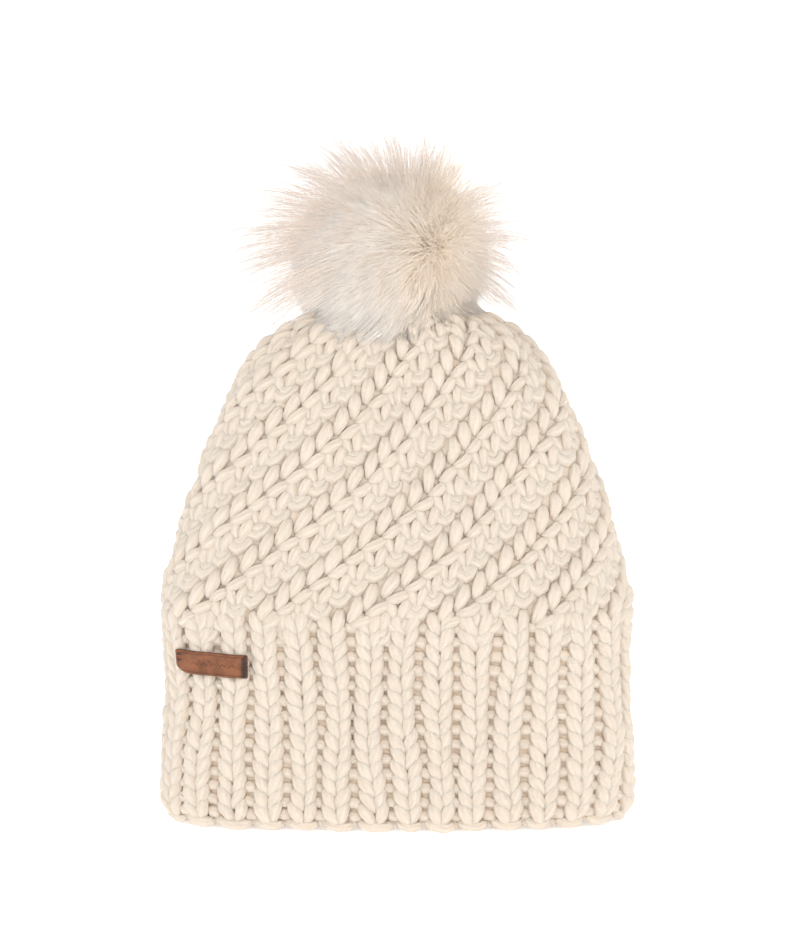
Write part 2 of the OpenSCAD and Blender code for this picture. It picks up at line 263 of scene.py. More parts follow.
# Hand knitting is never quite even: slow waves that shift the stitches sideways and lift them, in metres.
wander = {"side": ((1.5 * mm, 3, 5.8, 0.4), (0.9 * mm, 8, -9.5, 2.1), (0.6 * mm, 17, 14, 4.0)),
          "lift": ((0.9 * mm, 4, 7.0, 1.0), (0.5 * mm, 11, -13, 3.3))}


# The sum of size * sin(2 pi (turns * share + waves per metre * run) + start).
def wandering(waves, share, run):
    return sum(size * np.sin(2 * np.pi * (turns * share + rate * run) + start)
               for size, turns, rate, start in waves)


# The point at a share of the outline and a run up from the hem, lifted by rise along the normal, and that
# normal: the four nearest points of the surface, mixed by how near each lies. even leaves the waves out.
def onHat(share, run, rise, even=False):
    if not even:
        rise = rise + wandering(wander["lift"], share, run)
        share = share + wandering(wander["side"], share, run) / aroundAt(run)
    row = np.interp(run, hat["run"], np.arange(len(hat["run"])))
    column = (share % 1) * hat["steps"]
    r0 = np.clip(row.astype(int), 0, len(hat["run"]) - 2)
    c0 = column.astype(int) % hat["steps"]
    c1 = (c0 + 1) % hat["steps"]
    fr, fc = (row - r0)[..., None], (column - column.astype(int))[..., None]

    def between(grid):
        low = grid[r0, c0] * (1 - fc) + grid[r0, c1] * fc
        high = grid[r0 + 1, c0] * (1 - fc) + grid[r0 + 1, c1] * fc
        return low * (1 - fr) + high * fr

    normal = unit(between(hat["normal"]))
    return between(hat["place"]) + normal * rise[..., None], normal


# Catmull-Rom weights that carry a row of points to rings crowded towards both ends.
def splineWeights(points, rings):
    even = np.linspace(0, 1, rings)
    t = (0.45 * even + 0.55 * (1 - np.cos(np.pi * even)) / 2) * (points - 1)
    k = np.clip(t.astype(int), 0, points - 2)
    f = t - k
    w = np.zeros((rings, points))
    parts = [(-f + 2 * f**2 - f**3) / 2, (2 - 5 * f**2 + 3 * f**3) / 2,
             (f + 4 * f**2 - 3 * f**3) / 2, (-(f**2) + f**3) / 2]
    for step, part in zip((-1, 0, 1, 2), parts):
        np.add.at(w, (np.arange(rings), np.clip(k + step, 0, points - 1)), part)
    return w


# Ring of a tube closed by a strip of quads: corners of each quad, in the ring's own order.
def capQuads(sides):
    rest = [[sides - i, i + 1, i + 2, sides - i - 1] for i in range(1, sides // 2 - 1)]
    return np.array([[sides - 1, 0, 1, 2]] + rest)


# Tubes along many paths at once. Each ring is across * cos + over * sin, scaled by the radius there, with
# over as near to up as the path allows; section is another outline for it. Returns a part for makePiece.
def tubes(path, up, radius, rise=None, sides=8, tone=None, section=None):
    count, rings = path.shape[:2]
    ahead = unit(np.gradient(path, axis=1))
    across = unit(np.cross(ahead, up))
    over = np.cross(across, ahead)
    if section is None:
        turn = np.arange(sides) * 2 * np.pi / sides
        section = np.stack([np.cos(turn), np.sin(turn)], 1)
    sides = len(section)
    ring = across[:, :, None] * section[:, 0, None] + over[:, :, None] * section[:, 1, None]
    verts = path[:, :, None] + ring * radius[:, :, None, None]
    atRing, atSide = cellCorners(rings - 1, sides)
    cap = capQuads(sides)
    atRing = np.concatenate([atRing, cap * 0, cap * 0 + rings - 1])
    atSide = np.concatenate([atSide, cap, cap[:, ::-1]])
    one = atRing * sides + atSide % sides
    cell = np.stack([0.04 + 0.92 * atSide / sides, 0.14 + 0.82 * atRing / (rings - 1)], -1)
    capTurn = 2 * np.pi * cap / sides
    disc = np.stack([0.25 + 0.2 * np.cos(capTurn), 0.07 + 0.05 * np.sin(capTurn)], -1)
    cell[-2 * len(cap):-len(cap)] = disc
    cell[-len(cap):] = cell[-2 * len(cap):-len(cap), ::-1] + np.array([0.5, 0])
    steps = np.linalg.norm(np.diff(path, axis=1), axis=2)
    length = np.concatenate([np.zeros((count, 1)), np.cumsum(steps, 1)], 1)
    yarn = np.stack([np.broadcast_to(atSide / sides, (count,) + one.shape), length[:, atRing]], -1)
    rise = np.zeros((count, rings)) if rise is None else rise
    high = rise[:, :, None] + radius[:, :, None] * section[:, 1]
    return {
        "verts": verts.reshape(-1, 3), "cells": count, "cell": np.broadcast_to(cell, (count,) + cell.shape),
        "quads": one[None] + np.arange(count)[:, None, None] * rings * sides, "yarn": yarn,
        # depth, 0 at the surface to 1 eight millimetres in, is what the yarn's painted shade follows
        "depth": np.clip(-high / (8 * mm), 0, 1).reshape(-1),
        "tone": np.repeat(np.zeros(count) if tone is None else tone, rings * sides),
    }


# Puts faces, maps and attributes into a new mesh object; faces is a list of arrays with 3 or 4 corners each.
def addMesh(name, verts, faces, maps, values=None):
    me = bpy.data.meshes.new(name)
    me.vertices.add(len(verts))
    me.vertices.foreach_set("co", np.ascontiguousarray(verts, np.float32).ravel())
    corners = np.concatenate([f.ravel() for f in faces]).astype(np.int32)
    sizes = np.concatenate([np.full(len(f), f.shape[1]) for f in faces])
    me.loops.add(len(corners))
    me.loops.foreach_set("vertex_index", corners)
    me.polygons.add(len(sizes))
    me.polygons.foreach_set("loop_start", np.concatenate([[0], np.cumsum(sizes)[:-1]]).astype(np.int32))
    me.polygons.foreach_set("use_smooth", np.ones(len(sizes), bool))
    for key, uv in maps.items():
        me.uv_layers.new(name=key).data.foreach_set("uv", np.ascontiguousarray(uv, np.float32).ravel())
    for key, value in (values or {}).items():
        data = me.attributes.new(key, "FLOAT", "POINT").data
        data.foreach_set("value", np.ascontiguousarray(value, np.float32))
    me.update(calc_edges=True)
    made = bpy.data.objects.new(name, me)
    scene.collection.objects.link(made)
    return made


# Gives a finished mesh its material and its body, and hides the CAD nodes it stands for.
def dress(made, material, body, slotName, stands=()):
    made.data.materials.append(material)
    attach(made, body)
    if stands:
        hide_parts(*stands)
    return made


# Joins tube parts in one piece. Every tube has a cell of its own in the square of the baking map.
def makePiece(name, parts, *dressing):
    total = sum(part["cells"] for part in parts)
    columns = math.ceil(math.sqrt(total * 0.6))
    lines = math.ceil(total / columns)
    quads, cells, first, done = [], [], 0, 0
    for part in parts:
        quads.append((part["quads"] + first).reshape(-1, 4))
        k = np.arange(part["cells"]) + done
        corner = np.stack([k % columns, k // columns], -1)[:, None, None]
        cells.append(((part["cell"] + corner) / np.array([columns, lines])).reshape(-1, 2))
        first += len(part["verts"])
        done += part["cells"]
    made = addMesh(name, np.concatenate([part["verts"] for part in parts]), [np.concatenate(quads)],
                   {"OFBake": np.concatenate(cells),
                    "yarnMap": np.concatenate([part["yarn"].reshape(-1, 2) for part in parts])},
                   {key: np.concatenate([part[key] for part in parts]) for key in ("depth", "tone")})
    print("  ", name, total, "strands,", 2 * sum(q.shape[0] for q in quads), "triangles")
    return dress(made, *dressing)


# Strands of yarn over the hat. shape holds rows (x, y, rise, radius) in mm from each foot; the rows turn by
# turn and stretch by wide across the wale, whose own slope is lean; a spline carries them to the rings.
# loose, in mm, is how far dice move them.
def strands(feet, shape, dice, rings=9, sides=8, turn=None, wide=None, lean=0.0, loose=0.25, swell=None):
    share, run = feet
    shape = np.array(shape, float) * mm
    x = np.broadcast_to(shape[:, 0], (len(share), len(shape))).copy()
    y = np.broadcast_to(shape[:, 1], x.shape).copy()
    if turn is not None:
        along = x * math.cos(lean) + y * math.sin(lean)
        aside = (y * math.cos(lean) - x * math.sin(lean)) * wide[:, None]
        c, s = np.cos(turn)[:, None], np.sin(turn)[:, None]
        x, y = along * c - aside * s, along * s + aside * c
    x += dice.normal(0, loose * mm, x.shape) + dice.normal(0, loose * mm, (len(share), 1))
    y += dice.normal(0, loose * mm, x.shape)
    rise = shape[:, 2] + dice.normal(0, loose * 0.8 * mm, (len(share), 1))
    up = np.clip(run[:, None] + y, 0, runTop)
    place, normal = onHat(share[:, None] + x / aroundAt(up), up, rise)
    w = splineWeights(len(shape), rings)
    path = np.einsum("rc,ncx->nrx", w, place)
    normal = np.einsum("rc,ncx->nrx", w, normal)
    closing = np.clip(np.minimum(np.arange(rings), np.arange(rings)[::-1]) / 1.6, 0, 1)
    closing = np.sqrt(1 - (1 - closing) ** 2 * 0.93)
    radius = (w @ shape[:, 3]) * closing * (1 + dice.normal(0, 0.05, (len(share), 1)))
    if swell is not None:
        radius = radius * swell[:, None]
    return tubes(path, normal, radius, rise @ w.T, sides, dice.random(len(share)))


yarnPaint = yarnMaterial("creamYarn", yarnLook)

# The ribbed band: every knit stitch is a pair of legs that lean together at the foot, stacked in columns.
rib = {
    "columns": 33, "rows": 14, "firstRow": 5.5 * mm, "rowPitch": 7.2 * mm, "seed": 7,
    "leftLeg": [(0.6, -2.6, -5.2, 2.0), (-0.9, 0.4, -3.0, 3.0), (-2.7, 3.9, -2.0, 3.5),
                (-4.2, 7.2, -2.4, 3.3), (-5.0, 10.2, -5.2, 2.2)],
    "rightLeg": [(-0.3, -2.4, -5.0, 2.0), (1.6, 0.9, -3.0, 2.9), (3.0, 4.6, -2.2, 3.35),
                 (4.1, 8.4, -2.5, 3.2), (4.6, 11.8, -5.2, 2.2)],
    "purlBump": [(4.6, 0.2, -6.6, 2.55), (6.4, 2.4, -5.0, 3.35), (8.5, 3.1, -4.5, 3.65),
                 (10.5, 2.1, -5.0, 3.35), (12.2, -0.2, -6.8, 2.45)],
}
# The cast-on chain along the hem: a flat loop under every column and a short one between them.
hem = {
    "seed": 8,
    "loop": [(-7.4, 5.6, -5.4, 1.8), (-5.4, 3.7, -3.2, 2.6), (-0.4, 2.7, -2.5, 2.9),
             (4.8, 2.7, -3.0, 2.6), (7.2, 4.6, -5.2, 1.8)],
    "between": [(6.2, 5.8, -5.4, 1.6), (7.8, 3.4, -4.0, 2.0), (9.4, 2.4, -4.6, 1.8),
                (10.6, 3.4, -6.0, 1.3)],
    "under": [(-8.0, 2.4, -6.4, 1.9), (-3.6, 1.9, -5.4, 2.3), (2.4, 1.9, -5.4, 2.3),
              (8.4, 2.4, -6.4, 1.9)],
}


# Feet of the band's stitches: column c sits at c / columns of the outline, row r at firstRow + r * rowPitch.
def ribFeet(f, first, last):
    column, row = np.meshgrid(np.arange(first, last), np.arange(f["rows"]), indexing="ij")
    return (column / f["columns"]).ravel(), (f["firstRow"] + row * f["rowPitch"]).ravel()


def buildBand(f):
    dice = np.random.default_rng(f["seed"])
    for name, first, last in (("rib_columns_back", 0, 17), ("rib_columns_front", 17, 33)):
        feet = ribFeet(f, first, last)
        makePiece(name, [strands(feet, f["leftLeg"], dice), strands(feet, f["rightLeg"], dice)],
                  yarnPaint, "hat", "yarn", ("rib_band",))
    makePiece("rib_valleys", [strands(ribFeet(f, 0, 33), f["purlBump"], dice, 6, 6)],
              yarnPaint, "hat", "yarn", ("rib_band",))


def buildHem(f):
    dice = np.random.default_rng(f["seed"])
    feet = (np.arange(rib["columns"]) / rib["columns"], np.zeros(rib["columns"]))
    makePiece("hem_chain", [strands(feet, f[key], dice, 9, 8) for key in ("loop", "between", "under")],
              yarnPaint, "hat", "yarn", ("cast_on_edge",))


# The crown's travelling ridges: a stitch moves its ridge sideways by travel * g^1.5 for each step up, where g
# is what the outline has left of its length, so ridges steepen as the crown narrows.
crown = {
    "ridges": 13, "start": 0.02, "travel": 1.3, "stitch": 10.1 * mm, "foot": -5 * mm, "seed": 11,
    "roomy": 0.36,  # share of a ridge's first room below which the cells between ridges end
    "upperLeg": [(-1.4, -1.0, -4.6, 2.0), (0.1, 2.6, -1.8, 2.9), (1.5, 6.0, -0.9, 3.35),
                 (2.9, 9.6, -1.5, 3.2), (3.8, 13.2, -4.8, 2.1)],
    "lowerLeg": [(-0.9, -2.0, -4.4, 1.8), (2.0, -1.4, -1.8, 2.6), (4.9, 0.2, -1.1, 2.9),
                 (8.0, 2.1, -1.9, 2.6), (10.8, 3.5, -4.6, 1.6)],
    "cup": [(9.0, -1.8, -4.8, 2.4), (9.9, -6.6, -3.3, 3.0), (13.6, -9.7, -2.9, 3.3),
            (17.4, -6.8, -3.3, 3.0), (18.2, -2.2, -4.9, 2.4)],
    "innerCup": [(11.2, -1.6, -5.0, 1.9), (11.9, -4.6, -3.2, 2.5), (13.9, -6.0, -2.7, 2.7),
                 (16.0, -4.5, -3.2, 2.5), (16.7, -1.4, -5.2, 1.9)],
    "leftLeg": [(12.7, -5.0, -4.4, 2.1), (11.3, -1.2, -2.7, 2.8), (10.4, 2.9, -2.6, 2.9),
                (10.1, 6.6, -4.8, 1.9)],
    "rightLeg": [(14.3, -5.2, -4.4, 2.1), (15.5, -1.2, -2.5, 2.9), (16.5, 3.0, -2.4, 3.0),
                 (17.1, 7.2, -4.8, 2.0)],
}


# The feet of one ridge's stitches from the band to the tip: share walked, run, slope and room left across.
def walkRidge(f):
    share, run, rows = 0.0, runBand + f["foot"], []
    while run < runTop - 3 * mm:
        left = aroundAt(run) / hat["around"][hatForm["bandRows"]]
        slope = math.atan2(1, f["travel"] * left**1.5)
        rows.append((share, run, slope, aroundAt(run) / f["ridges"] * math.sin(slope)))
        share += f["stitch"] * math.cos(slope) / aroundAt(run)
        run += f["stitch"] * math.sin(slope)
    return np.array(rows).T


def buildCrown(f):
    dice = np.random.default_rng(f["seed"])
    share, run, slope, room = walkRidge(f)
    ridge = np.repeat(np.arange(f["ridges"]), len(share))
    feet = (np.tile(share, f["ridges"]) + ridge / f["ridges"] + f["start"], np.tile(run, f["ridges"]))
    narrow = np.clip(np.tile(room, f["ridges"]) / room[0], 0.2, 1)
    print("crown:", len(share), "stitches in each of", f["ridges"], "ridges")

    def lay(key, wide, swell, keep):
        return strands((feet[0][keep], feet[1][keep]), f[key], dice, wide=wide[keep], swell=swell[keep],
                       turn=np.tile(slope, f["ridges"])[keep], lean=slope[0])

    ridgeFit = (narrow**0.5, 0.3 + 0.7 * narrow**0.6, narrow > 0)  # width, thickness and which stitches
    cellFit = (narrow, 0.35 + 0.65 * narrow, narrow > f["roomy"])
    for name, keys, fit in (("crown_ridge_upper", ("upperLeg",), ridgeFit),
                            ("crown_ridge_lower", ("lowerLeg",), ridgeFit),
                            ("crown_cell_cups", ("cup", "innerCup"), cellFit),
                            ("crown_cell_legs", ("leftLeg", "rightLeg"), cellFit)):
        makePiece(name, [lay(key, *fit) for key in keys], yarnPaint, "hat", "yarn", ("crown",))


buildBand(rib)
buildHem(hem)
buildCrown(crown)


# A grid of points whose rows and columns both close on themselves, so it is a shell with a real thickness:
# the square of the baking map holds it once, and yarnMap carries its real lengths.
def loopPiece(name, grid, rise, *dressing):
    rows, columns = grid.shape[:2]
    atRow, atColumn = cellCorners(rows, columns, flip=True)
    quads = (atRow % rows) * columns + atColumn % columns
    around = np.linalg.norm(np.roll(grid, -1, 1) - grid, axis=2).mean(0)
    upward = np.linalg.norm(np.roll(grid, -1, 0) - grid, axis=2).mean(1)
    wide, high = np.concatenate([[0], np.cumsum(around)]), np.concatenate([[0], np.cumsum(upward)])
    maps = {"OFBake": np.stack([atColumn / columns, atRow / rows], -1).reshape(-1, 2),
            "yarnMap": np.stack([wide[atColumn], high[atRow]], -1).reshape(-1, 2)}
    # the depth that the yarn's painted shade follows comes from rise
    made = addMesh(name, grid.reshape(-1, 3), [quads], maps,
                   {"depth": np.clip(-rise / (8 * mm), 0, 1).ravel(), "tone": np.zeros(rise.size)})
    print("  ", name, 2 * len(quads), "triangles")
    return dress(made, *dressing)


# The back of the knit behind the stitches: a shell of low bumps, where the rows of purl show inside the hat,
# painted in the yarn's shade colours by how deep it lies.
backing = {
    "outer": (-3.8 * mm, -2.3 * mm),  # how deep each face lies, in the band and then in the crown
    "inner": (-9.2 * mm, -9.2 * mm),
    "bump": 0.9 * mm, "rows": 74, "around": 198,
}


# Rows run up the outer face, over the top edge and down the inner face. The bumps are half of bump times
# sin(row wave) * cos(column wave), two to a column of the knit.
def buildBacking(f):
    runs = np.linspace(2.2 * mm, runTop - 1 * mm, f["rows"])
    share = np.arange(f["around"]) / f["around"]
    wave = np.cos(2 * np.pi * share * rib["columns"] * 2) * 0.5
    grids, rises = [], []
    for level, rows, side in ((f["outer"], runs, 1), (f["inner"], runs[::-1], -1)):
        deep = np.interp(rows, [runBand - 8 * mm, runBand + 8 * mm], level)[:, None]
        rise = deep + side * f["bump"] * np.sin(2 * np.pi * rows / rib["rowPitch"])[:, None] * wave
        shares, runsUp = np.broadcast_arrays(share, rows[:, None])
        grids.append(onHat(shares, runsUp, rise)[0])
        # painted shade: the outer face keeps its full depth, the inner face under half of it, so the inside is
        # painted lighter
        rises.append(np.where(side > 0, rise, 0.45 * rise))
    loopPiece("knit_backing", np.concatenate(grids), np.concatenate(rises), yarnPaint, "hat", "yarn",
              ("rib_band", "crown"))


buildBacking(backing)


# Directions spread evenly over a ball: the height steps evenly and each point turns on by the golden angle.
def evenDirections(count, dice, spread):
    k = np.arange(count) + 0.5
    z, turn = 1 - 2 * k / count, k * np.pi * (3 - math.sqrt(5))
    side = np.sqrt(1 - z**2)
    d = np.stack([side * np.cos(turn), side * np.sin(turn), z], 1)
    return unit(d + dice.normal(0, spread, (count, 3)))


# Points under the crown's skin are moved out from the middle line, or near that line up, until they clear it.
def clearOfHat(points, gap):
    z = np.clip(points[..., 2], 0, crownTop - 0.2 * mm)
    a, b, n = (np.interp(z, hat["z"], hat[key]) for key in ("a", "b", "n"))
    level = ((np.abs(points[..., 0]) / (a + gap)) ** n + (np.abs(points[..., 1]) / (b + gap)) ** n) ** (1 / n)
    under = (points[..., 2] < crownTop + gap) & (level < 1)
    out = points.copy()
    near = under & (level < 0.72)
    out[..., 2] = np.where(near, crownTop + gap, out[..., 2])
    push = np.where(under & ~near, 1 / np.maximum(level, 0.5), 1)
    out[..., :2] *= push[..., None]
    return out


furLow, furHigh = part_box("pom_fur_cover")
pomMiddle = (np.array(furLow) + np.array(furHigh)) / 2
pomMiddle[2] = furHigh.z - (furHigh.x - furLow.x) / 2
pom = {
    "parting": (0.60, -0.79, -0.10),  # the hair is combed away from here
    "core": 33 * mm,                  # radius of the cloth that it grows from
    "hairs": 34000, "hairLength": (16 * mm, 28 * mm), "thick": 0.30 * mm,
    "wisps": 1000, "wispHairs": 9, "wispLength": (36 * mm, 70 * mm), "wispThick": 0.115 * mm,
    "wispLean": 0.35, "wispClumping": 0.8,
    "clumps": 1700, "clumping": 0.55, "lean": 0.95, "droop": 0.22, "seed": 21,
    "points": 5,                      # points along each hair
    "lowest": (-0.74, -0.4),          # no hairs, and no wisps, grow below these heights on a ball of radius 1
    "top": 0.84,                      # how flat its upper half is pressed
    "seat": 22.5 * mm,                # how far under the middle the cloth's flat seat lies
    "reach": (60 * mm, 351 * mm),     # how far it may stand out to front and back, and up
}


# Hair from direction d on the core: it leaves along d and leans over to flow, the way away from the parting,
# p(s) = root + length * (d * (0.8 s - 0.3 lean s^2) + flow * lean * (0.3 s + 0.6 s^2) - droop * s^2 up).
# It leans most on the side that faces the parting and least on the far side. It is shorter at the parting, on
# top and to the right, and longer below. A hair that would pass the reach shrinks towards its root.
def hairPaths(f, d, length, dice, lean):
    pole = unit(np.array(f["parting"]))
    facing = d @ pole
    flow = d * facing[:, None] - pole
    flow += dice.normal(0, 0.18, flow.shape)
    flow -= d * np.sum(flow * d, axis=1, keepdims=True)
    flow = unit(flow, 0.35)
    s = np.linspace(0, 1, f["points"])[None, :, None]
    lean = (lean * (0.35 + 0.65 * np.clip(facing + 0.45, 0, 1)))[:, None, None]
    size = 1 - 0.25 * np.clip((facing - 0.75) / 0.25, 0, 1) - 0.22 * np.clip(d[:, 2] - 0.1, 0, 1)
    size = size + 0.25 * np.clip(-d[:, 2] - 0.1, 0, 0.6) - 0.14 * d[:, 0]
    along = d[:, None] * (0.8 * s - 0.3 * lean * s**2) + flow[:, None] * lean * (0.3 * s + 0.6 * s**2)
    along = along - np.array([0, 0, 1]) * f["droop"] * s**2
    root = d * f["core"]
    root[:, 2] *= np.where(root[:, 2] > 0, f["top"], 1)
    path = pomMiddle + root[:, None] + along * (length * size)[:, None, None]
    tall = (f["reach"][1] - path[:, 0, 2]) / np.maximum(path[:, -1, 2] - path[:, 0, 2], 1e-6)
    deep = (f["reach"][0] - np.abs(path[:, 0, 1])) / np.maximum(np.abs(path[:, -1, 1] - path[:, 0, 1]), 1e-6)
    tall = np.where(path[:, -1, 2] > f["reach"][1], tall, 1)
    deep = np.where(np.abs(path[:, -1, 1]) > f["reach"][0], deep, 1)
    return path[:, :1] + (path - path[:, :1]) * np.clip(np.minimum(tall, deep), 0, 1)[:, None, None]


# Closed three-sided hairs that taper to a point, with a triangle at the root and three at the tip.
def hairPiece(name, path, thick, tone, material, stands=()):
    count, rings = path.shape[0], path.shape[1] - 1
    ahead = unit(np.gradient(path, axis=1))
    side = unit(np.cross(ahead, np.array([0.31, 0.22, 0.92])), 1e-6)
    over = np.cross(side, ahead)
    turn = np.arange(3) * 2 * np.pi / 3
    ring = side[:, :, None] * np.cos(turn)[:, None] + over[:, :, None] * np.sin(turn)[:, None]
    taper = (1 - (np.arange(rings) / (rings + 0.4)) ** 1.6)[:, None, None] * thick[:, None, None, None]
    shaft = (path[:, :-1, None] + ring[:, :-1] * taper).reshape(count, -1, 3)
    verts = np.concatenate([shaft, path[:, -1:]], 1)
    each = verts.shape[1]
    atRing, atSide = cellCorners(rings - 1, 3)
    quads = atRing * 3 + atSide % 3
    last, three = 3 * (rings - 1), np.arange(3)
    tips = np.stack([last + three, np.full(3, each - 1), last + (three + 1) % 3], 1)
    threes = np.concatenate([tips, [[0, 1, 2]]])
    first = (np.arange(count) * each)[:, None, None]
    columns = math.ceil(math.sqrt(count * 2.2))
    lines = math.ceil(count / columns)
    cell = np.stack([np.arange(count) % columns, np.arange(count) // columns], -1)[:, None, None]
    square = np.array([columns, lines])
    quadCell = np.stack([0.06 + 0.88 * atSide / 3, 0.12 + 0.66 * atRing / (rings - 1)], -1)
    tipCell = np.stack([np.stack([0.06 + 0.88 * three / 3, 0.06 + 0.88 * (three + 0.5) / 3,
                                  0.06 + 0.88 * (three + 1) / 3], 1), np.array([[0.78, 0.96, 0.78]] * 3)], -1)
    rootCell = np.array([[[0.3, 0.02], [0.7, 0.02], [0.5, 0.09]]])
    cells = (quadCell, np.concatenate([tipCell, rootCell]))
    uv = [((part[None] + cell) / square).reshape(-1, 2) for part in cells]
    along = np.concatenate([np.repeat(np.arange(rings) / rings, 3), [1]])
    made = addMesh(name, verts.reshape(-1, 3),
                   [(quads[None] + first).reshape(-1, 4), (threes[None] + first).reshape(-1, 3)],
                   {"OFBake": np.concatenate(uv)},
                   {"along": np.tile(along, count), "tone": np.repeat(tone, each)})
    print("  ", name, count, "hairs,", count * (2 * len(quads) + 4), "triangles")
    made.visible_shadow = False  # fine fibres pass light, so they don't darken each other
    return dress(made, material, "pom", "fur", stands)


# furLook's darker root colour is painted shade deep in the fur; the wisps have their own colours
furLook = {"root": (240, 218, 194), "middle": (253, 243, 231), "tip": (255, 250, 244),
           "warm": (255, 231, 198), "grey": (243, 231, 218)}
wispLook = {"root": (252, 237, 219), "middle": (248, 234, 221), "tip": (216, 203, 197),
            "warm": (252, 231, 203), "grey": (226, 213, 206)}


# Fur: from the root's colour to the tip's, which for the main fur paints shade at the roots, some hairs
# greyer, and warmer in a strip right of the middle.
def furMaterial(name, look):
    p = Paint(name)
    where = p.place()
    parts = p.node("ShaderNodeSeparateXYZ", None, [where])
    along, tone = p.attribute("along"), p.attribute("tone")
    # painted shade: where the look gives a darker root, the roots deep in the fur take it, the middles and
    # tips are lighter
    colour = p.blend(p.soft(along, 0.05, 0.5), tint(*look["root"]), tint(*look["middle"]))
    colour = p.blend(p.soft(along, 0.45, 0.95), colour, tint(*look["tip"]))
    colour = p.blend(p.soft(tone, 0.55, 1.0) * 0.35, colour, tint(*look["grey"]))
    warm = p.soft(parts, -0.012, 0.018) * (1 - p.soft(parts, 0.024, 0.052))
    colour = p.blend(warm * 0.38, colour, tint(*look["warm"]))
    colour = p.blend(p.noise(where, 60) * 0.16, colour, tint(*look["grey"]))
    return p.finish(base_color=colour, roughness=0.5 + 0.2 * tone, sheen_weight=0.6, sheen_roughness=0.5,
                    specular_ior_level=0.3)


# A ball as a grid with a point at each pole; skinOf gives the point of its skin for each direction.
def ballPiece(name, middle, skinOf, rows, columns, *dressing):
    v = np.linspace(0, np.pi, rows + 1)[1:-1, None]
    u = (np.arange(columns) * 2 * np.pi / columns)[None]
    d = np.stack([np.sin(v) * np.cos(u), np.sin(v) * np.sin(u), np.cos(v) * np.ones_like(u)], -1)
    d = np.concatenate([d.reshape(-1, 3), [[0, 0, 1.0]], [[0, 0, -1.0]]])
    verts = np.array(middle) + skinOf(d)
    atRow, atColumn = cellCorners(rows - 2, columns)
    k = np.arange(columns)
    top, bottom = len(verts) - 2, len(verts) - 1
    poles = np.concatenate([np.stack([np.full(columns, top), k, (k + 1) % columns], 1),
                            np.stack([np.full(columns, bottom), (rows - 2) * columns + (k + 1) % columns,
                                      (rows - 2) * columns + k], 1)])
    uvQuads = np.stack([atColumn / columns, (atRow + 1) / rows], -1)
    uvPoles = np.concatenate([np.stack([np.stack([k + 0.5, k, k + 1], 1) / columns,
                                        np.array([[0, 1, 1]] * columns) / rows], -1),
                              np.stack([np.stack([k + 0.5, k + 1, k], 1) / columns,
                                        np.array([[rows, rows - 1, rows - 1]] * columns) / rows], -1)])
    made = addMesh(name, verts, [atRow * columns + atColumn % columns, poles],
                   {"OFBake": np.concatenate([uvQuads.reshape(-1, 2), uvPoles.reshape(-1, 2)])})
    return dress(made, *dressing)


# The cloth under the fur: a ball, or the seat where that is nearer, plus three sine waves of half a
# millimetre for its short pile, with the upper half pressed flatter.
def coreSkin(d):
    r = np.minimum(pom["core"] + 1.5 * mm, pom["seat"] / np.maximum(-d[:, 2], 1e-3))
    waves = ((11, (1, 0.4, 0.2)), (17, (-0.3, 1, 0.5)), (23, (0.5, -0.4, 1)))
    wave = sum(np.sin(k * (d @ np.array(w)) + k) for k, w in waves)
    cloth = d * (r + 0.5 * mm * wave)[:, None]
    cloth[:, 2] *= np.where(cloth[:, 2] > 0, pom["top"], 1)
    return cloth


